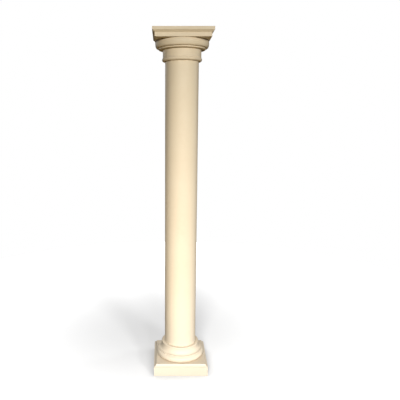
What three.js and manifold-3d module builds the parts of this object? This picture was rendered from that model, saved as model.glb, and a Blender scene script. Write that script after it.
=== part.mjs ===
// A plain Doric column: a moulded base on a square plinth, a smooth round shaft and a moulded capital.
// Millimetres, +Z up. The origin is the centre of the underside, and the front faces -Y.
import * as THREE from 'three';
import { mergeVertices, toCreasedNormals } from 'three/addons/utils/BufferGeometryUtils.js';
import Module from 'manifold-3d';

// The whole column
const columnHeight = 2100;
const shaftRadius = 100;

// Each end of the shaft stands in a shallow round seat
const seatClearance = 0.3;
const baseSeatDepth = 10;
const capitalSeatDepth = 12;

// Base heights, from the ground up
const plinthFaceHeight = 58;
const plinthCoveHeight = 16;
const torusHeight = 38;
const baseFilletHeight = 5;
const scotiaHeight = 36;
const baseBeadHeight = 10;

// Base projections, each from the moulding inside it, from the shaft outwards
const baseBeadProjection = 20;
const baseBeadQuirk = 3;
const scotiaProjection = 20;
const baseFilletLip = 4;
const torusProjection = 12;
const plinthLedge = 2;
const plinthCoveProjection = 15;
const plinthCoveHollow = 3;

// Capital heights, from the shaft up
const astragalHeight = 22;
const neckHeight = 41.5;
const neckCoveHeight = 4;
const annuletHeight = 8.5;
const echinusRise = 25;
const echinusReturn = 16;
const fasciaHeight = 22.5;
const abacusSplayHeight = 12.5;
const abacusFilletHeight = 17;

// Capital projections, each from the moulding inside it, from the shaft outwards
const neckProjection = 14;
const astragalProjection = 4.5;
const neckCoveProjection = 4;
const annuletProjection = 20.5;
const echinusFootProjection = 10.5;
const echinusBellyProjection = 9.5;
const echinusHeadInset = 4;
const abacusOverhang = 1.5;
const abacusSplayProjection = 13.5;

// How finely curves are divided
const turnSides = 64;
const quarterSteps = 5;
const hollowSteps = 6;
const creaseAngle = Math.PI / 9;

const cream = 0xf3e6c8;
const roughness = 0.6;

const wasm = await Module();
wasm.setup();

// Heights that the mouldings add up to
const plinthTop = plinthFaceHeight + plinthCoveHeight;
const torusTop = plinthTop + torusHeight;
const scotiaFoot = torusTop + baseFilletHeight;
const baseBeadFoot = scotiaFoot + scotiaHeight;
const baseTop = baseBeadFoot + baseBeadHeight;

const abacusSplayTop = columnHeight - abacusFilletHeight;
const abacusSplayFoot = abacusSplayTop - abacusSplayHeight;
const abacusFoot = abacusSplayFoot - fasciaHeight;
const echinusBellyLevel = abacusFoot - echinusReturn;
const echinusFoot = echinusBellyLevel - echinusRise;
const annuletFoot = echinusFoot - annuletHeight;
const neckTop = annuletFoot - neckCoveHeight;
const neckFoot = neckTop - neckHeight;
const capitalFoot = neckFoot - astragalHeight;

// Points of an ellipse in a profile, from one angle to another in quarter turns
function ellipse(centreX, centreZ, radiusX, radiusZ, fromQuarter, toQuarter) {
  const steps = Math.ceil(Math.abs(toQuarter - fromQuarter) * quarterSteps);
  const points = [];
  for (let i = 0; i <= steps; i += 1) {
    const angle = (fromQuarter + ((toQuarter - fromQuarter) * i) / steps) * (Math.PI / 2);
    const x = centreX + radiusX * Math.cos(angle);
    const z = centreZ + radiusZ * Math.sin(angle);
    points.push(new THREE.Vector2(x, z));
  }
  return points;
}

// Points of a shallow hollow between two ends in a profile, on the left of the way from one to the other
function hollow(from, to, depth) {
  const way = to.clone().sub(from);
  const across = new THREE.Vector2(-way.y, way.x).normalize();
  const points = [];
  for (let i = 0; i <= hollowSteps; i += 1) {
    const part = i / hollowSteps;
    const along = from.clone().addScaledVector(way, part);
    points.push(along.addScaledVector(across, depth * 4 * part * (1 - part)));
  }
  return points;
}

// A closed solid from a profile that starts and ends on the axis, turned with this many sides
function turned(profile, sides) {
  const firstCorner = Math.PI / sides;
  const lathe = new THREE.LatheGeometry(profile, sides, firstCorner);
  lathe.rotateX(Math.PI / 2);
  lathe.deleteAttribute('normal');
  lathe.deleteAttribute('uv');
  const merged = mergeVertices(lathe);
  const corners = merged.index.array;
  const triVerts = [];
  for (let i = 0; i < corners.length; i += 3) {
    const [a, b, c] = corners.slice(i, i + 3);
    if (a !== b && b !== c && c !== a) {
      triVerts.push(a, b, c);
    }
  }
  const vertProperties = merged.attributes.position.array;
  const mesh = new wasm.Mesh({ numProp: 3, vertProperties, triVerts: new Uint32Array(triVerts) });
  return new wasm.Manifold(mesh);
}

// A square solid whose profile gives half of its width at each height
function squared(profile) {
  const cornerwise = profile.map((point) => new THREE.Vector2(point.x * Math.SQRT2, point.y));
  return turned(cornerwise, 4);
}

// A round plug between two levels
function plug(radius, low, high) {
  const profile = [
    new THREE.Vector2(0, low),
    new THREE.Vector2(radius, low),
    new THREE.Vector2(radius, high),
    new THREE.Vector2(0, high),
  ];
  return turned(profile, turnSides);
}

function namedMesh(name, solid) {
  const { vertProperties, triVerts } = solid.getMesh();
  const geometry = new THREE.BufferGeometry();
  geometry.setAttribute('position', new THREE.BufferAttribute(vertProperties, 3));
  geometry.setIndex(new THREE.BufferAttribute(triVerts, 1));
  const material = new THREE.MeshStandardMaterial({ color: cream, roughness, metalness: 0 });
  const mesh = new THREE.Mesh(toCreasedNormals(geometry, creaseAngle), material);
  mesh.name = name;
  return mesh;
}

// Base: bead, scotia, fillet and torus turned above a square plinth with a hollow top edge
function makeBase() {
  const beadRadius = baseBeadHeight / 2;
  const beadFace = shaftRadius + baseBeadProjection;
  const beadCentre = beadFace - beadRadius;
  const scotiaHead = beadFace - baseBeadQuirk;
  const scotiaReach = scotiaHead + scotiaProjection;
  const filletFace = scotiaReach + baseFilletLip;
  const torusFace = filletFace + torusProjection;
  const torusRadius = torusHeight / 2;
  const torusCentre = torusFace - torusRadius;
  const torusLevel = plinthTop + torusRadius;
  const filletQuarter = Math.acos((filletFace - torusCentre) / torusRadius) / (Math.PI / 2);
  const ledgeEdge = torusFace + plinthLedge;
  const plinthFace = ledgeEdge + plinthCoveProjection;

  const mouldings = turned([
    new THREE.Vector2(0, plinthFaceHeight),
    new THREE.Vector2(torusCentre, plinthFaceHeight),
    ...ellipse(torusCentre, torusLevel, torusRadius, torusRadius, -1, filletQuarter),
    new THREE.Vector2(filletFace, scotiaFoot),
    ...ellipse(scotiaReach, baseBeadFoot, scotiaProjection, scotiaHeight, -1, -2),
    ...ellipse(beadCentre, baseBeadFoot + beadRadius, beadRadius, beadRadius, -1, 1),
    new THREE.Vector2(0, baseTop),
  ], turnSides);
  const plinth = squared([
    new THREE.Vector2(0, 0),
    new THREE.Vector2(plinthFace, 0),
    ...hollow(
      new THREE.Vector2(plinthFace, plinthFaceHeight),
      new THREE.Vector2(ledgeEdge, plinthTop),
      plinthCoveHollow,
    ),
    new THREE.Vector2(0, plinthTop),
  ]);
  const seat = plug(shaftRadius + seatClearance, baseTop - baseSeatDepth, columnHeight);
  return plinth.add(mouldings).subtract(seat);
}

// Shaft: a smooth, straight round drum that stands in the seats of the base and the capital
function makeShaft() {
  const low = baseTop - baseSeatDepth + seatClearance;
  const high = capitalFoot + capitalSeatDepth - seatClearance;
  return plug(shaftRadius, low, high);
}

// Capital: astragal, neck, annulet and echinus turned below a square abacus
function makeCapital() {
  const neckFace = shaftRadius + neckProjection;
  const astragalRadius = astragalHeight / 2;
  const astragalCentre = neckFace + astragalProjection - astragalRadius;
  const astragalLevel = capitalFoot + astragalRadius;
  const neckQuarter = Math.acos((neckFace - astragalCentre) / astragalRadius) / (Math.PI / 2);
  const undercutQuarter = -1.45;
  const astragal = ellipse(
    astragalCentre, astragalLevel, astragalRadius, astragalRadius, undercutQuarter, neckQuarter,
  );
  const coveFace = neckFace + neckCoveProjection;
  const annuletFace = coveFace + annuletProjection;
  const echinusFace = annuletFace + echinusFootProjection;
  const bellyFace = echinusFace + echinusBellyProjection;
  const headFace = bellyFace - echinusHeadInset;
  const fasciaFace = bellyFace + abacusOverhang;
  const abacusFace = fasciaFace + abacusSplayProjection;

  const mouldings = turned([
    new THREE.Vector2(0, astragal[0].y),
    ...astragal,
    ...ellipse(coveFace, neckTop, neckCoveProjection, neckCoveHeight, 2, 1),
    new THREE.Vector2(annuletFace, annuletFoot),
    new THREE.Vector2(annuletFace, echinusFoot),
    ...ellipse(echinusFace, echinusBellyLevel, echinusBellyProjection, echinusRise, -1, 0),
    ...ellipse(headFace, echinusBellyLevel, echinusHeadInset, echinusReturn, 0, 1).slice(1),
    new THREE.Vector2(headFace, abacusSplayFoot),
    new THREE.Vector2(0, abacusSplayFoot),
  ], turnSides);
  const abacus = squared([
    new THREE.Vector2(0, abacusFoot),
    new THREE.Vector2(fasciaFace, abacusFoot),
    new THREE.Vector2(fasciaFace, abacusSplayFoot),
    new THREE.Vector2(abacusFace, abacusSplayTop),
    new THREE.Vector2(abacusFace, columnHeight),
    new THREE.Vector2(0, columnHeight),
  ]);
  const seat = plug(shaftRadius + seatClearance, 0, capitalFoot + capitalSeatDepth);
  return abacus.add(mouldings).subtract(seat);
}

const column = new THREE.Group();
column.add(namedMesh('base', makeBase()));
column.add(namedMesh('shaft', makeShaft()));
column.add(namedMesh('capital', makeCapital()));

export default column;
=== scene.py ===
"""Looks of a plain Doric column: a moulded base, a smooth shaft and a moulded capital in satin cream."""

import logging
import math
from dataclasses import dataclass
from enum import Enum

import bmesh
import bpy
from mathutils import Euler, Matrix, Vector, noise


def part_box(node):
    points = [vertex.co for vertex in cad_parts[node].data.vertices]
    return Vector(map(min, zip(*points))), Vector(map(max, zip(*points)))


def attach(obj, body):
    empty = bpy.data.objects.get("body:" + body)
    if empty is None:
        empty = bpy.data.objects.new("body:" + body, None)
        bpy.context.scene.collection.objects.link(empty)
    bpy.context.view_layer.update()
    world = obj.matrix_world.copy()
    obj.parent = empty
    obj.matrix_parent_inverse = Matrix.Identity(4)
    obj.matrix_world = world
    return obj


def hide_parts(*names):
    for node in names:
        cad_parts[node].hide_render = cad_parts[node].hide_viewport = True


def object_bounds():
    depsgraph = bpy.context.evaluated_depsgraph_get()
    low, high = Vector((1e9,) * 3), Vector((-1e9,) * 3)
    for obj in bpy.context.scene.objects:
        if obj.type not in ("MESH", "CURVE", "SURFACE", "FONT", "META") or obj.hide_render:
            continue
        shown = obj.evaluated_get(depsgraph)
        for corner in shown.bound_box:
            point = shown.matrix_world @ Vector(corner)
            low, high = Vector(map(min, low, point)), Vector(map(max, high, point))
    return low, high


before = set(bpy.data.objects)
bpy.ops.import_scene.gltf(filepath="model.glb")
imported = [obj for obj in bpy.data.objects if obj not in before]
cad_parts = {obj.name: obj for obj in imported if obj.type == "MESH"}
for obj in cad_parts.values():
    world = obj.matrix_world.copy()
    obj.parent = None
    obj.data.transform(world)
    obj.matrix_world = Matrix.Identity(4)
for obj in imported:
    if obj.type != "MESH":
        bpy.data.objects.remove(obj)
cad_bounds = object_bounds()

log = logging.getLogger("column")

MM = 0.001
BODY = "root"
PHOTO_SIDE = 400

Point = tuple[float, float]
Band = tuple[float, float]
Colour = tuple[float, float, float, float]
WHITE: Colour = (1.0, 1.0, 1.0, 1.0)
BLACK: Colour = (0.0, 0.0, 0.0, 1.0)


class Outline:
    """A moulding's outline: points of distance from the axis and height, in metres."""

    def __init__(self, *points: Point) -> None:
        """Starts the outline.

        Args:
            points: The first points, as distance from the axis and height.
        """
        self.points: list[Point] = list(points)

    def to(self, *points: Point) -> "Outline":
        """Runs straight on to further points.

        Args:
            points: The points, in order.

        Returns:
            The same outline.
        """
        self.points.extend(points)
        return self

    def arc(self, centre: Point, radii: Point, start: float, end: float, steps: int = 12) -> "Outline":
        """Runs on along an ellipse.

        Args:
            centre: The ellipse's centre.
            radii: Its half width and half height.
            start: The first angle, in quarter turns from outwards.
            end: The last angle, in quarter turns.
            steps: How many straight steps a quarter turn takes.

        Returns:
            The same outline.
        """
        count = math.ceil(abs(end - start) * steps)
        for index in range(count + 1):
            angle = (start + (end - start) * index / count) * math.pi / 2
            across = centre[0] + radii[0] * math.cos(angle)
            self.points.append((across, centre[1] + radii[1] * math.sin(angle)))
        return self

    def hollow(self, end: Point, depth: float, steps: int = 10) -> "Outline":
        """Runs on along a shallow hollow that dips towards the axis.

        Args:
            end: The hollow's last point.
            depth: How deep it is at its middle.
            steps: How many straight steps it takes.

        Returns:
            The same outline.
        """
        start = Vector(self.points[-1])
        way = Vector(end) - start
        inwards = Vector((-abs(way.y), -abs(way.x))).normalized()
        for index in range(1, steps + 1):
            part = index / steps
            point = start + way * part + inwards * depth * 4 * part * (1 - part)
            self.points.append((point.x, point.y))
        return self

    def rise(self, end: Point, steps: int) -> "Outline":
        """Runs straight on to a point in even steps, for a long face that isn't quite flat.

        Args:
            end: The last point.
            steps: How many steps it takes.

        Returns:
            The same outline.
        """
        start = self.points[-1]
        for index in range(1, steps + 1):
            part = index / steps
            across = start[0] + (end[0] - start[0]) * part
            self.points.append((across, start[1] + (end[1] - start[1]) * part))
        return self

    def rounded(self, radius: float, hard_angle: float, steps: int = 4, room: float = 0.45) -> "Outline":
        """Rounds every hard corner, as far as the straight runs beside it have room.

        Args:
            radius: The rounding's radius, in metres.
            hard_angle: The bend, in radians, from which a corner counts as hard.
            steps: How many straight steps a rounding takes.
            room: The share of a straight run that the rounding at either end may take.

        Returns:
            A new outline.
        """
        corners = [Vector(point) for point in self.points]
        made = Outline(self.points[0])
        for before, corner, after in zip(corners, corners[1:], corners[2:]):
            arriving, leaving = corner - before, after - corner
            bend = arriving.angle(leaving, 0.0)
            if bend < hard_angle:
                made.to((corner.x, corner.y))
                continue
            reach = min(radius * math.tan(bend / 2), arriving.length * room, leaving.length * room)
            first = corner - arriving.normalized() * reach
            last = corner + leaving.normalized() * reach
            for index in range(steps + 1):
                part = index / steps
                point = first * (1 - part) ** 2 + corner * 2 * part * (1 - part) + last * part ** 2
                made.to((point.x, point.y))
        return made.to(self.points[-1])


@dataclass(frozen=True)
class Casting:
    """How a moulded piece is shaped as a mesh.

    Attributes:
        sides: Steps around the axis. It divides by eight, so that a square's corners and middles have points.
        arris: Rounding of every hard edge and crease, in metres.
        arris_steps: Steps across that rounding.
        hard_angle: The bend, in radians, from which an edge counts as hard.
        unevenness: How far the skin wanders in and out, in metres.
        wander: How long a wave of that wandering is, in metres.
        merge: How near points must be to become one, in metres.
        pole: The half width that a square keeps until it is closed on the axis, in metres.
        mitre_band: How far off the diagonal a mitre's points may be, in metres.
        still_band: How far from the axis the skin stays as it is, in metres.
        even_weight: How much the larger faces count in the shading of a rounding, in percent.
    """

    sides: int = 192
    arris: float = 1.0 * MM
    arris_steps: int = 3
    hard_angle: float = math.radians(24)
    unevenness: float = 0.12 * MM
    wander: float = 0.16
    merge: float = 0.005 * MM
    pole: float = 0.001 * MM
    mitre_band: float = 0.01 * MM
    still_band: float = 1.0 * MM
    even_weight: int = 50

    def turn(self, mesh: bmesh.types.BMesh, outline: Outline) -> list[bmesh.types.BMEdge]:
        """Turns an outline about the axis.

        Args:
            mesh: The mesh that takes the surface.
            outline: The outline to turn.

        Returns:
            The edges of the open rim that the outline's last point leaves, if it is off the axis.
        """
        outline = outline.rounded(self.arris, self.hard_angle)
        corners = [mesh.verts.new((radius, 0, height)) for radius, height in outline.points]
        edges = [mesh.edges.new(pair) for pair in zip(corners, corners[1:])]
        bmesh.ops.spin(
            mesh,
            geom=corners + edges,
            cent=(0, 0, 0),
            axis=(0, 0, 1),
            dvec=(0, 0, 0),
            angle=math.tau,
            steps=self.sides,
            use_merge=True,
            use_duplicate=False,
        )
        bmesh.ops.remove_doubles(mesh, verts=mesh.verts, dist=self.merge)
        return [edge for edge in mesh.edges if edge.is_boundary]

    def square(self, mesh: bmesh.types.BMesh, rim: list[bmesh.types.BMEdge], outline: Outline) -> None:
        """Carries a round rim over into square mouldings, mitred at their corners.

        Args:
            mesh: The mesh that holds the rim.
            rim: The rim's edges.
            outline: Half widths and heights of the square mouldings. The last point is on the axis.
        """
        outline = outline.rounded(self.arris, self.hard_angle)
        half, height = outline.points[0]
        grown = bmesh.ops.extrude_edge_only(mesh, edges=rim)["geom"]
        edges = [item for item in grown if isinstance(item, bmesh.types.BMEdge)]
        for corner in (item for item in grown if isinstance(item, bmesh.types.BMVert)):
            corner.co.xy *= half / max(abs(corner.co.x), abs(corner.co.y))
        for width, level in outline.points[1:]:
            grown = bmesh.ops.extrude_edge_only(mesh, edges=edges)["geom"]
            edges = [item for item in grown if isinstance(item, bmesh.types.BMEdge)]
            corners = [item for item in grown if isinstance(item, bmesh.types.BMVert)]
            bmesh.ops.scale(mesh, vec=(width / half, width / half, 1), verts=corners)
            bmesh.ops.translate(mesh, vec=(0, 0, level - height), verts=corners)
            half, height = max(width, self.pole), level
        bmesh.ops.remove_doubles(mesh, verts=mesh.verts, dist=self.merge)

    def soften(self, mesh: bmesh.types.BMesh) -> None:
        """Rounds the mitred corners of the square mouldings.

        Args:
            mesh: The closed mesh to soften.
        """
        mitres = [
            edge
            for edge in mesh.edges
            if edge.is_manifold
            and edge.calc_face_angle() > self.hard_angle
            and all(abs(abs(end.co.x) - abs(end.co.y)) < self.mitre_band for end in edge.verts)
        ]
        bmesh.ops.bevel(
            mesh,
            geom=mitres,
            offset=self.arris,
            offset_type="OFFSET",
            segments=self.arris_steps,
            profile=0.5,
            affect="EDGES",
            material=-1,
        )

    def wear(self, mesh: bmesh.types.BMesh, seed: float) -> None:
        """Lets the skin wander in and out a little, as a moulded and painted one does.

        Args:
            mesh: The mesh to move.
            seed: Which stretch of the noise the piece takes.
        """
        away = Vector((seed, seed, seed))
        for corner in mesh.verts:
            reach = corner.co.xy.length
            if reach > self.still_band:
                swell = self.unevenness * noise.noise(corner.co / self.wander + away)
                corner.co.xy += corner.co.xy / reach * swell

    def finish(self, mesh: bmesh.types.BMesh, name: str, seed: float) -> bpy.types.Object:
        """Turns the mesh's faces outwards, softens it and makes it an object.

        Args:
            mesh: The shaped mesh, which is freed.
            name: The piece's name.
            seed: Which stretch of the noise the piece takes.

        Returns:
            The piece, at the origin.
        """
        bmesh.ops.recalc_face_normals(mesh, faces=mesh.faces)
        self.soften(mesh)
        self.wear(mesh, seed)
        bmesh.ops.recalc_face_normals(mesh, faces=mesh.faces)
        data = bpy.data.meshes.new(name)
        for face in mesh.faces:
            face.smooth = True
        mesh.to_mesh(data)
        mesh.free()
        piece = bpy.data.objects.new(name, data)
        bpy.context.scene.collection.objects.link(piece)
        shading = piece.modifiers.new("even shading", "WEIGHTED_NORMAL")
        shading.weight = self.even_weight
        return piece


class Graph:
    """A material's nodes, added and joined one after the other."""

    # The places of a colour mix's inputs and of its result
    MIX_SHARE, MIX_FIRST, MIX_SECOND, MIX_RESULT = 0, 6, 7, 2

    def __init__(self, tree: bpy.types.NodeTree) -> None:
        """Empties a tree to build it afresh.

        Args:
            tree: The tree to build in.
        """
        self.tree = tree
        tree.nodes.clear()

    def add(self, kind: str, settings: dict | None = None, **inputs: object) -> bpy.types.Node:
        """Adds a node.

        Args:
            kind: The node's type, without its ShaderNode prefix.
            settings: Attributes of the node, by name.
            inputs: Values or sockets for its inputs, with underscores for the spaces in their names.

        Returns:
            The node.
        """
        node = self.tree.nodes.new("ShaderNode" + kind)
        for key, value in (settings or {}).items():
            setattr(node, key, value)
        for key, value in inputs.items():
            self.feed(node.inputs[key.replace("_", " ")], value)
        return node

    def feed(self, socket: bpy.types.NodeSocket, value: object) -> None:
        """Joins a socket to an input, or sets the input.

        Args:
            socket: The input.
            value: A socket to join, or a plain value.
        """
        if isinstance(value, bpy.types.NodeSocket):
            self.tree.links.new(value, socket)
        else:
            socket.default_value = value

    def calculate(self, operation: str, first: object, second: object = 0.0) -> bpy.types.NodeSocket:
        """Adds one step of arithmetic.

        Args:
            operation: The Math node's operation.
            first: Its first value or socket.
            second: Its second value or socket.

        Returns:
            The result's socket.
        """
        node = self.add("Math", {"operation": operation})
        self.feed(node.inputs[0], first)
        self.feed(node.inputs[1], second)
        return node.outputs[0]

    def blend(self, share: object, first: object, second: object) -> bpy.types.NodeSocket:
        """Mixes two colours.

        Args:
            share: The second colour's share, as a value or socket.
            first: The first colour or socket.
            second: The second colour or socket.

        Returns:
            The mixed colour's socket.
        """
        node = self.add("Mix", {"data_type": "RGBA"})
        self.feed(node.inputs[self.MIX_SHARE], share)
        self.feed(node.inputs[self.MIX_FIRST], first)
        self.feed(node.inputs[self.MIX_SECOND], second)
        return node.outputs[self.MIX_RESULT]

    def stretch(
        self, value: object, low: float, high: float, least: float = 0.0, most: float = 1.0
    ) -> bpy.types.NodeSocket:
        """Maps a range of a value smoothly to another range.

        Args:
            value: The value's socket.
            low: Where the range starts.
            high: Where it ends.
            least: What it starts at afterwards.
            most: What it ends at afterwards.

        Returns:
            The result's socket.
        """
        node = self.add("MapRange", {"interpolation_type": "SMOOTHSTEP"})
        for index, number in enumerate((value, low, high, least, most)):
            self.feed(node.inputs[index], number)
        return node.outputs[0]


@dataclass(frozen=True)
class Pattern:
    """One noise pattern in a finish.

    Attributes:
        scale: Its size, in waves to a metre.
        detail: How many finer layers it has.
        harshness: How strong its finer layers are.
    """

    scale: float
    detail: float
    harshness: float

    def lay(self, graph: Graph, place: bpy.types.NodeSocket) -> bpy.types.NodeSocket:
        """Adds the pattern's node.

        Args:
            graph: The material's nodes.
            place: The place on the piece, as a socket.

        Returns:
            The socket of the pattern's value.
        """
        node = graph.add(
            "TexNoise", Vector=place, Scale=self.scale, Detail=self.detail, Roughness=self.harshness
        )
        return node.outputs[0]


@dataclass(frozen=True)
class PaintedShade:
    """Painted shade: a darker tint that a finish takes where another face is near, standing in for the shade
    that falls there.

    Attributes:
        colour: What the finish turns to.
        reach: How near the other face must be, in metres.
        share: How much of the tint it takes at most.
        band: The shares of open air at which the tint is full and at which it is gone.
        samples: How many ways the open air is measured in.
    """

    colour: Colour
    reach: float
    share: float
    band: Band = (0.15, 0.8)
    samples: int = 8

    def lay(self, graph: Graph, paint: bpy.types.NodeSocket) -> bpy.types.NodeSocket:
        """Lays the painted shade over a colour.

        Args:
            graph: The material's nodes.
            paint: The colour, as a socket.

        Returns:
            The shaded colour's socket.
        """
        # Painted shade: the less open air there is around a point, the more of the tint it takes.
        air = graph.add("AmbientOcclusion", {"samples": self.samples}, Distance=self.reach).outputs["AO"]
        return graph.blend(graph.stretch(air, *self.band, self.share, 0.0), paint, self.colour)


@dataclass(frozen=True)
class CreamFinish:
    """A satin cream paint, clouded and faintly mottled, warmer towards the top and darker and paler towards
    the foot, with painted shade browning its creases and hollows.

    Attributes:
        name: The material's name.
        head_pale: The paler shade at the head.
        head_warm: The warmer shade at the head.
        foot_pale: The paler shade at the foot.
        foot_warm: The warmer shade at the foot.
        head_height: The height from which the head's shades hold, in metres.
        hollow: Painted shade in wide hollows: what the paint turns to there.
        crease: Painted shade in narrow creases, warm brown: what the paint turns to there.
        clouds: The broad clouding.
        cloud_band: The part of its range over which the clouding turns from pale to warm.
        cloud_share: How much of the turn to the warm shade is the clouding's.
        mottle: The mottling.
        mottle_band: The part of its range over which the mottling turns from pale to warm.
        mottle_share: How much of the turn to the warm shade is the mottling's.
        grain: The fine grain.
        relief: Height of the grain, in metres.
        relief_strength: How strongly the grain catches the light.
        sheen_band: The part of the mottling's range over which the roughness changes.
        least_roughness: The roughness where it is smoothest.
        most_roughness: The roughness where it is roughest.
        specular: How strongly it shines.
    """

    name: str = "cream satin paint"
    head_pale: Colour = (0.84, 0.70, 0.475, 1.0)
    head_warm: Colour = (0.82, 0.67, 0.445, 1.0)
    foot_pale: Colour = (0.72, 0.625, 0.485, 1.0)
    foot_warm: Colour = (0.69, 0.59, 0.45, 1.0)
    head_height: float = 2.1
    # Painted shade where open air is scarce: a broad one in hollows and a warm brown one in creases.
    hollow: PaintedShade = PaintedShade((0.40, 0.33, 0.24, 1.0), reach=0.07, share=0.25)
    crease: PaintedShade = PaintedShade((0.56, 0.40, 0.23, 1.0), reach=0.018, share=0.2)
    clouds: Pattern = Pattern(scale=3.5, detail=3.0, harshness=0.5)
    cloud_band: Band = (0.35, 0.65)
    cloud_share: float = 0.7
    mottle: Pattern = Pattern(scale=38.0, detail=4.0, harshness=0.6)
    mottle_band: Band = (0.4, 0.7)
    mottle_share: float = 0.3
    grain: Pattern = Pattern(scale=700.0, detail=2.0, harshness=0.6)
    relief: float = 0.05 * MM
    relief_strength: float = 0.6
    sheen_band: Band = (0.3, 0.7)
    least_roughness: float = 0.47
    most_roughness: float = 0.58
    specular: float = 0.35

    def build(self) -> bpy.types.Material:
        """Makes the material.

        Returns:
            The material.
        """
        material = bpy.data.materials.new(self.name)
        material.use_nodes = True
        graph = Graph(material.node_tree)
        place = graph.add("TexCoord").outputs["Object"]
        mottle = self.mottle.lay(graph, place)
        cloudy = graph.stretch(self.clouds.lay(graph, place), *self.cloud_band, 0.0, self.cloud_share)
        mottled = graph.stretch(mottle, *self.mottle_band, 0.0, self.mottle_share)
        shade = graph.calculate("ADD", cloudy, mottled)
        # The colour turns with height from the foot's shades, which are darker and paler, to the head's,
        # which are warmer.
        level = graph.add("SeparateXYZ", Vector=place).outputs["Z"]
        up = graph.calculate("DIVIDE", level, self.head_height)
        foot = graph.blend(shade, self.foot_pale, self.foot_warm)
        head = graph.blend(shade, self.head_pale, self.head_warm)
        paint = graph.blend(up, foot, head)
        # Lays the painted shade of hollows and creases over the colour.
        for painted_shade in (self.hollow, self.crease):
            paint = painted_shade.lay(graph, paint)
        rough = graph.stretch(mottle, *self.sheen_band, self.least_roughness, self.most_roughness)
        grain = self.grain.lay(graph, place)
        bump = graph.add("Bump", Strength=self.relief_strength, Distance=self.relief, Height=grain)
        shader = graph.add("BsdfPrincipled", Base_Color=paint, Roughness=rough, Normal=bump.outputs[0])
        shader.inputs["Specular IOR Level"].default_value = self.specular
        output = graph.add("OutputMaterial")
        graph.feed(output.inputs["Surface"], shader.outputs[0])
        return material


@dataclass(frozen=True)
class FloorFinish:
    """The plain pale studio floor, lifted to white by light of its own away from the column's shadow. Where
    that glow is least it paints a soft shadow, and a painted contact shadow darkens it beside the plinth.

    Attributes:
        name: The material's name.
        colour: Its colour.
        shaded_spot: The middle of the painted shadow, where the floor glows least and keeps its own
            brightness, in metres.
        white_reach: How far from there the floor is lifted in full, in metres.
        shaded_lift: The least lift, as light of its own.
        white_lift: The full lift.
        contact: How far around the plinth the painted contact shadow reaches, in metres.
        contact_shade: What the painted contact shadow leaves of the floor's brightness right beside the
            plinth.
        contact_band: The shares of open air at which the darkening is full and at which it is gone.
        contact_samples: How many ways the open air is measured in.
        roughness: Its roughness.
    """

    name: str = "pale floor"
    colour: Colour = (0.65, 0.65, 0.65, 1.0)
    shaded_spot: tuple[float, float, float] = (-0.26, 0.47, 0.0)
    white_reach: float = 2.3
    shaded_lift: float = 0.2
    white_lift: float = 1.0
    contact: float = 0.08
    contact_shade: float = 0.8
    contact_band: Band = (0.5, 1.0)
    contact_samples: int = 16
    roughness: float = 0.9

    def build(self) -> bpy.types.Material:
        """Makes the material.

        Returns:
            The material.
        """
        material = bpy.data.materials.new(self.name)
        material.use_nodes = True
        graph = Graph(material.node_tree)
        place = graph.add("TexCoord").outputs["Object"]
        # Painted shadow: the floor's glow, light of its own, is least at the shadow's middle and grows to
        # full further out.
        away = graph.add("VectorMath", {"operation": "DISTANCE"})
        graph.feed(away.inputs[0], place)
        graph.feed(away.inputs[1], self.shaded_spot)
        lift = graph.stretch(away.outputs["Value"], 0.0, self.white_reach, self.shaded_lift, self.white_lift)
        # Painted contact shadow: the floor's colour and glow darken where open air is scarce beside the
        # plinth.
        contact = graph.add("AmbientOcclusion", {"samples": self.contact_samples}, Distance=self.contact)
        shade = graph.stretch(contact.outputs["AO"], *self.contact_band, self.contact_shade, 1.0)
        lift = graph.calculate("MULTIPLY", lift, shade)
        base = graph.blend(shade, BLACK, self.colour)
        shader = graph.add("BsdfPrincipled", Base_Color=base, Roughness=self.roughness)
        shader.inputs["Specular IOR Level"].default_value = 0.0
        # The floor glows with light of its own, although it is no lamp.
        shader.inputs["Emission Color"].default_value = WHITE
        graph.feed(shader.inputs["Emission Strength"], lift)
        output = graph.add("OutputMaterial")
        graph.feed(output.inputs["Surface"], shader.outputs[0])
        return material


def put_in_place(piece: bpy.types.Object, node: str, finish: bpy.types.Material) -> None:
    """Gives a piece its finish and puts it in the place of the solid that it stands for.

    Args:
        piece: The finished piece.
        node: The solid's name.
        finish: Its material.
    """
    piece.data.materials.append(finish)
    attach(piece, BODY)
    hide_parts(node)
    triangles = sum(len(face.vertices) - 2 for face in piece.data.polygons)
    log.info("%s: %d triangles, for %s", piece.name, triangles, node)


@dataclass
class Shaft:
    """The smooth, straight round shaft.

    Attributes:
        casting: How it is shaped as a mesh.
        ring_step: Height between its rings, in metres.
        solid_sides: Sides of the solid shaft, which the frame measures across its flats.
        seed: Which stretch of the noise its skin takes.
    """

    casting: Casting = Casting(unevenness=0.25 * MM, wander=0.22)
    ring_step: float = 0.02
    solid_sides: int = 64
    seed: float = 3.0

    def radius(self) -> float:
        """Gives the shaft's radius, from the frame."""
        low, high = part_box("shaft")
        return (high.y - low.y) / 2 / math.cos(math.pi / self.solid_sides)

    def build(self) -> bpy.types.Object:
        """Makes the shaft's mesh.

        Returns:
            The piece.
        """
        low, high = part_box("shaft")
        rings = round((high.z - low.z) / self.ring_step)
        outline = Outline((0, low.z), (self.radius(), low.z))
        outline.rise((self.radius(), high.z), rings).to((0, high.z))
        mesh = bmesh.new()
        self.casting.turn(mesh, outline)
        return self.casting.finish(mesh, "round_shaft", self.seed)

    def dress(self, finish: bpy.types.Material) -> None:
        """Builds the shaft and gives it its finish."""
        put_in_place(self.build(), "shaft", finish)


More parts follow.
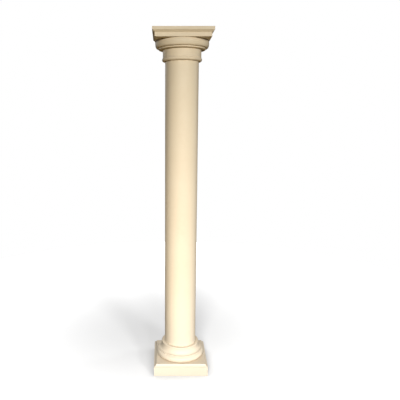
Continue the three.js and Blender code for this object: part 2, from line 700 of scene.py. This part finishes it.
@dataclass
class Base:
    """The base: a bead, scotia, fillet and torus in one with a square plinth.

    Attributes:
        shaft_radius: Radius of the shaft that it carries.
        casting: How it is shaped as a mesh.
        seat_clearance: Gap around the shaft in its seat.
        seat_depth: How deep the seat is.
        plinth_face: Height of the plinth's upright face.
        plinth_cove: Height of the hollow edge above that face.
        torus: Height of the torus.
        fillet: Height of the lip fillet.
        scotia: Height of the scotia.
        bead: Height of the bead.
        bead_projection: How far the bead stands out from the shaft.
        bead_quirk: How far the scotia's head lies back from the bead.
        scotia_projection: How far the scotia runs out.
        fillet_lip: How far the fillet stands out from the scotia.
        torus_projection: How far the torus stands out from the fillet.
        plinth_ledge: Width of the plinth's top beside the torus.
        plinth_cove_projection: How far the hollow edge runs out.
        plinth_cove_hollow: How deep that edge is hollowed.
        scotia_steps: Steps to a quarter turn of the scotia.
        torus_steps: Steps to a quarter turn of the torus.
        cove_steps: Steps down the hollow edge.
        face_steps: Steps down the upright face.
        seed: Which stretch of the noise its skin takes.
    """

    shaft_radius: float
    casting: Casting = Casting()
    seat_clearance: float = 0.3 * MM
    seat_depth: float = 10 * MM
    plinth_face: float = 58 * MM
    plinth_cove: float = 16 * MM
    torus: float = 38 * MM
    fillet: float = 5 * MM
    scotia: float = 36 * MM
    bead: float = 10 * MM
    bead_projection: float = 20 * MM
    bead_quirk: float = 3 * MM
    scotia_projection: float = 20 * MM
    fillet_lip: float = 4 * MM
    torus_projection: float = 12 * MM
    plinth_ledge: float = 2 * MM
    plinth_cove_projection: float = 15 * MM
    plinth_cove_hollow: float = 3 * MM
    scotia_steps: int = 20
    torus_steps: int = 16
    cove_steps: int = 6
    face_steps: int = 5
    seed: float = 11.0

    def build(self) -> bpy.types.Object:
        """Makes the base's mesh.

        Returns:
            The piece.
        """
        seat = self.shaft_radius + self.seat_clearance
        bead_face = self.shaft_radius + self.bead_projection
        scotia_head = bead_face - self.bead_quirk
        scotia_reach = scotia_head + self.scotia_projection
        fillet_face = scotia_reach + self.fillet_lip
        torus_face = fillet_face + self.torus_projection
        ledge = torus_face + self.plinth_ledge
        plinth = ledge + self.plinth_cove_projection

        plinth_top = self.plinth_face + self.plinth_cove
        scotia_foot = plinth_top + self.torus + self.fillet
        bead_foot = scotia_foot + self.scotia
        top = bead_foot + self.bead
        round_bead = self.bead / 2
        round_torus = self.torus / 2
        torus_centre = torus_face - round_torus
        torus_end = math.acos((fillet_face - torus_centre) / round_torus) / (math.pi / 2)

        outline = Outline((0, top - self.seat_depth), (seat, top - self.seat_depth), (seat, top))
        outline.arc((bead_face - round_bead, bead_foot + round_bead), (round_bead, round_bead), 1, -1)
        scotia = (self.scotia_projection, self.scotia)
        outline.arc((scotia_reach, bead_foot), scotia, -2, -1, self.scotia_steps)
        outline.to((fillet_face, scotia_foot))
        torus = (round_torus, round_torus)
        outline.arc((torus_centre, plinth_top + round_torus), torus, torus_end, -1, self.torus_steps)
        mesh = bmesh.new()
        rim = self.casting.turn(mesh, outline)

        below = Outline((ledge - self.casting.arris, plinth_top), (ledge, plinth_top))
        below.hollow((plinth, self.plinth_face), self.plinth_cove_hollow, self.cove_steps)
        below.rise((plinth, 0), self.face_steps).to((0, 0))
        self.casting.square(mesh, rim, below)
        return self.casting.finish(mesh, "moulded_base", self.seed)

    def dress(self, finish: bpy.types.Material) -> None:
        """Builds the base and gives it its finish."""
        put_in_place(self.build(), "base", finish)


@dataclass
class Capital:
    """The capital: an astragal, neck, annulet and echinus in one with a square abacus.

    Attributes:
        shaft_radius: Radius of the shaft that carries it.
        top: Height of the abacus's top above the ground.
        casting: How it is shaped as a mesh.
        seat_clearance: Gap around the shaft in its seat.
        seat_depth: How deep the seat is.
        astragal: Height of the astragal.
        neck: Height of the neck.
        neck_cove: Height of the cove above the neck.
        annulet: Height of the annulet.
        echinus_rise: Height of the echinus up to its widest place.
        echinus_return: Height above that place over which it draws in again.
        fascia: Height of the abacus's plain face.
        splay: Height of the abacus's splay.
        fillet: Height of the abacus's fillet.
        neck_projection: How far the neck stands out from the shaft.
        astragal_projection: How far the astragal stands out from the neck.
        astragal_undercut: How far round the astragal turns below, in quarter turns.
        neck_cove_projection: How far the cove runs out.
        annulet_projection: How far the annulet stands out from the cove.
        echinus_foot_projection: How far the echinus's foot stands out from the annulet.
        echinus_belly_projection: How far its widest place stands out from its foot.
        echinus_head_inset: How far it would draw in again above.
        echinus_turn: How far round it draws in before it meets the abacus, in quarter turns.
        abacus_overhang: How far the plain face stands out from the echinus.
        splay_projection: How far the splay runs out.
        cove_steps: Steps to a quarter turn of the cove.
        echinus_steps: Steps to a quarter turn of the echinus's lower part.
        return_steps: Steps to a quarter turn where it draws in again.
        face_steps: Steps up each upright face of the abacus.
        seed: Which stretch of the noise its skin takes.
    """

    shaft_radius: float
    top: float
    casting: Casting = Casting()
    seat_clearance: float = 0.3 * MM
    seat_depth: float = 12 * MM
    astragal: float = 22 * MM
    neck: float = 41.5 * MM
    neck_cove: float = 4 * MM
    annulet: float = 8.5 * MM
    echinus_rise: float = 25 * MM
    echinus_return: float = 16 * MM
    fascia: float = 22.5 * MM
    splay: float = 12.5 * MM
    fillet: float = 17 * MM
    neck_projection: float = 14 * MM
    astragal_projection: float = 4.5 * MM
    astragal_undercut: float = 1.45
    neck_cove_projection: float = 4 * MM
    annulet_projection: float = 20.5 * MM
    echinus_foot_projection: float = 10.5 * MM
    echinus_belly_projection: float = 9.5 * MM
    echinus_head_inset: float = 4 * MM
    echinus_turn: float = 0.82
    abacus_overhang: float = 1.5 * MM
    splay_projection: float = 13.5 * MM
    cove_steps: int = 6
    echinus_steps: int = 14
    return_steps: int = 12
    face_steps: int = 2
    seed: float = 23.0

    def build(self) -> bpy.types.Object:
        """Makes the capital's mesh.

        Returns:
            The piece.
        """
        seat = self.shaft_radius + self.seat_clearance
        neck_face = self.shaft_radius + self.neck_projection
        cove_face = neck_face + self.neck_cove_projection
        annulet_face = cove_face + self.annulet_projection
        echinus_face = annulet_face + self.echinus_foot_projection
        belly_face = echinus_face + self.echinus_belly_projection
        head_face = belly_face - self.echinus_head_inset
        fascia_face = belly_face + self.abacus_overhang
        abacus_face = fascia_face + self.splay_projection

        splay_top = self.top - self.fillet
        splay_foot = splay_top - self.splay
        abacus_foot = splay_foot - self.fascia
        belly = abacus_foot - self.echinus_return
        echinus_foot = belly - self.echinus_rise
        annulet_foot = echinus_foot - self.annulet
        neck_top = annulet_foot - self.neck_cove
        neck_foot = neck_top - self.neck
        foot = neck_foot - self.astragal
        round_bead = self.astragal / 2
        bead_centre = neck_face + self.astragal_projection - round_bead
        bead_end = math.acos((neck_face - bead_centre) / round_bead) / (math.pi / 2)

        outline = Outline((0, foot + self.seat_depth), (seat, foot + self.seat_depth))
        outline.arc(
            (bead_centre, foot + round_bead), (round_bead, round_bead), -self.astragal_undercut, bead_end
        )
        outline.points.insert(2, (seat, outline.points[2][1]))
        cove = (self.neck_cove_projection, self.neck_cove)
        outline.arc((cove_face, neck_top), cove, 2, 1, self.cove_steps)
        outline.to((annulet_face, annulet_foot), (annulet_face, echinus_foot))
        echinus = (self.echinus_belly_projection, self.echinus_rise)
        outline.arc((echinus_face, belly), echinus, -1, 0, self.echinus_steps)
        drawn_in = (self.echinus_head_inset, self.echinus_return)
        outline.arc((head_face, belly), drawn_in, 0, self.echinus_turn, self.return_steps)
        outline.to((outline.points[-1][0], abacus_foot))
        mesh = bmesh.new()
        rim = self.casting.turn(mesh, outline)

        above = Outline((fascia_face - 2 * self.casting.arris, abacus_foot), (fascia_face, abacus_foot))
        above.rise((fascia_face, splay_foot), self.face_steps)
        above.to((abacus_face, splay_top)).rise((abacus_face, self.top), self.face_steps).to((0, self.top))
        self.casting.square(mesh, rim, above)
        return self.casting.finish(mesh, "moulded_capital", self.seed)

    def dress(self, finish: bpy.types.Material) -> None:
        """Builds the capital and gives it its finish."""
        put_in_place(self.build(), "capital", finish)


class Source(Enum):
    """Where a studio light hangs, as its bearing from the column in degrees: 0 in front, 90 to the right."""

    FRONT = -10.0
    KEY = 10.0
    RIGHT = 30.0
    SIDE = 100.0
    BEHIND = -140.0
    BACK = 175.0
    FOOT = -20.0
    OVERHEAD = 0.0


@dataclass(frozen=True)
class Softbox:
    """One soft studio light: hung level above the column's top and facing down, or lying low and facing up.

    Attributes:
        source: Where it hangs.
        power: Its power, in watts.
        distance: How far from the column's axis, in metres.
        height: How high, in metres.
        side: Its width and depth, in metres.
        upwards: Whether it faces up instead of down.
        glossy: Whether it shows as a sheen on the paint.
        colour: Its colour.
    """

    source: Source
    power: float
    distance: float
    height: float
    side: float
    upwards: bool = False
    glossy: bool = True
    colour: tuple[float, float, float] = (1.0, 1.0, 1.0)

    def build(self) -> bpy.types.Object:
        """Hangs the light.

        Returns:
            The light.
        """
        data = bpy.data.lights.new(self.source.name.lower() + " softbox", "AREA")
        data.shape = "SQUARE"
        data.size = self.side
        data.energy = self.power
        data.color = self.colour
        light = bpy.data.objects.new(data.name, data)
        bearing = math.radians(self.source.value)
        light.location = (self.distance * math.sin(bearing), -self.distance * math.cos(bearing), self.height)
        light.rotation_euler = Euler((math.pi if self.upwards else 0, 0, bearing))
        light.visible_camera = False
        light.visible_glossy = self.glossy
        bpy.context.scene.collection.objects.link(light)
        return light


@dataclass
class Studio:
    """The camera, the pale floor, the bright surround and the lights.

    Attributes:
        height: The column's height, which the camera's place is worked out from.
        camera_aside: How far to the right of the column's axis the camera stands, in column heights.
        camera_away: How far behind the axis it stands, in column heights: in front is less than nothing.
        camera_up: How high it stands, in column heights.
        camera_dip: How far it looks down, in radians.
        focal_pixels: Its focal length, in pixels of the photograph.
        centre_pixel: Where in the photograph's width it looks straight ahead, in pixels.
        sensor: Width of its sensor, in millimetres.
        floor_radius: Radius of the floor, in metres.
        floor_sides: How many sides the floor's edge has.
        warm: Colour of the light that a warm floor would throw up under the mouldings.
    """

    height: float
    camera_aside: float = -0.0541
    camera_away: float = -1.2957
    camera_up: float = 0.7528
    camera_dip: float = math.radians(10.03)
    focal_pixels: float = 441.05
    centre_pixel: float = 162.88
    sensor: float = 36.0
    floor_radius: float = 3.0
    floor_sides: int = 96
    warm: tuple[float, float, float] = (1.0, 0.78, 0.45)

    def camera(self) -> bpy.types.Object:
        """Sets the camera up where the photograph was taken from.

        Returns:
            The camera.
        """
        data = bpy.data.cameras.new("camera")
        data.sensor_width = self.sensor
        data.lens = self.sensor * self.focal_pixels / PHOTO_SIDE
        data.shift_x = (PHOTO_SIDE / 2 - self.centre_pixel) / PHOTO_SIDE
        camera = bpy.data.objects.new("camera", data)
        camera.location = Vector((self.camera_aside, self.camera_away, self.camera_up)) * self.height
        camera.rotation_euler = Euler((math.pi / 2 - self.camera_dip, 0, 0))
        bpy.context.scene.collection.objects.link(camera)
        bpy.context.scene.camera = camera
        return camera

    def floor(self) -> bpy.types.Object:
        """Lays the floor: a round one that ends in white, where the white surround takes over.

        Returns:
            The floor.
        """
        mesh = bmesh.new()
        bmesh.ops.create_circle(mesh, cap_ends=True, segments=self.floor_sides, radius=self.floor_radius)
        data = bpy.data.meshes.new("floor")
        mesh.to_mesh(data)
        mesh.free()
        floor = bpy.data.objects.new("floor", data)
        floor.data.materials.append(FloorFinish().build())
        floor.visible_diffuse = False
        floor.visible_glossy = False
        bpy.context.scene.collection.objects.link(floor)
        return floor

    def sky(self) -> bpy.types.World:
        """Makes the white surround.

        Returns:
            The world.
        """
        world = bpy.data.worlds.new("surround")
        world.use_nodes = True
        graph = Graph(world.node_tree)
        seen = graph.add("LightPath").outputs["Is Camera Ray"]
        plain = graph.add("Background", Color=WHITE, Strength=1.0)
        light = graph.add("Background", Color=WHITE, Strength=0.0)
        mixed = graph.add("MixShader", Fac=seen)
        graph.feed(mixed.inputs[1], light.outputs[0])
        graph.feed(mixed.inputs[2], plain.outputs[0])
        output = graph.add("OutputWorld")
        graph.feed(output.inputs["Surface"], mixed.outputs[0])
        bpy.context.scene.world = world
        return world

    def lights(self) -> list[bpy.types.Object]:
        """Sets the lights up.

        Returns:
            The lights.
        """
        boxes = (
            Softbox(Source.FRONT, 590.0, distance=5.0, height=2.7, side=1.0),
            Softbox(Source.KEY, 3480.0, distance=14.0, height=3.0, side=2.4),
            Softbox(Source.RIGHT, 4010.0, distance=14.0, height=4.2, side=2.4),
            Softbox(Source.SIDE, 840.0, distance=9.0, height=2.8, side=1.6),
            Softbox(Source.BEHIND, 50.0, distance=3.0, height=2.4, side=1.0),
            Softbox(Source.BACK, 1000.0, distance=9.0, height=2.8, side=1.6, glossy=False),
            Softbox(Source.OVERHEAD, 3.0, distance=0.0, height=2.6, side=0.3),
            Softbox(Source.FOOT, 6.5, distance=1.0, height=0.03, side=0.5, upwards=True, colour=self.warm),
        )
        return [box.build() for box in boxes]

    def build(self) -> None:
        """Sets the whole studio up."""
        self.camera()
        self.floor()
        self.sky()
        self.lights()
        bpy.context.scene.view_settings.view_transform = "Standard"


def main() -> None:
    """Builds the column and its studio."""
    logging.basicConfig(level=logging.INFO, format="%(name)s: %(message)s")
    lowest, highest = cad_bounds
    Studio(height=highest[2] - lowest[2]).build()
    cream = CreamFinish().build()
    shaft = Shaft()
    shaft.dress(cream)
    Base(shaft.radius()).dress(cream)
    Capital(shaft.radius(), highest[2]).dress(cream)


if __name__ == "__main__":
    main()
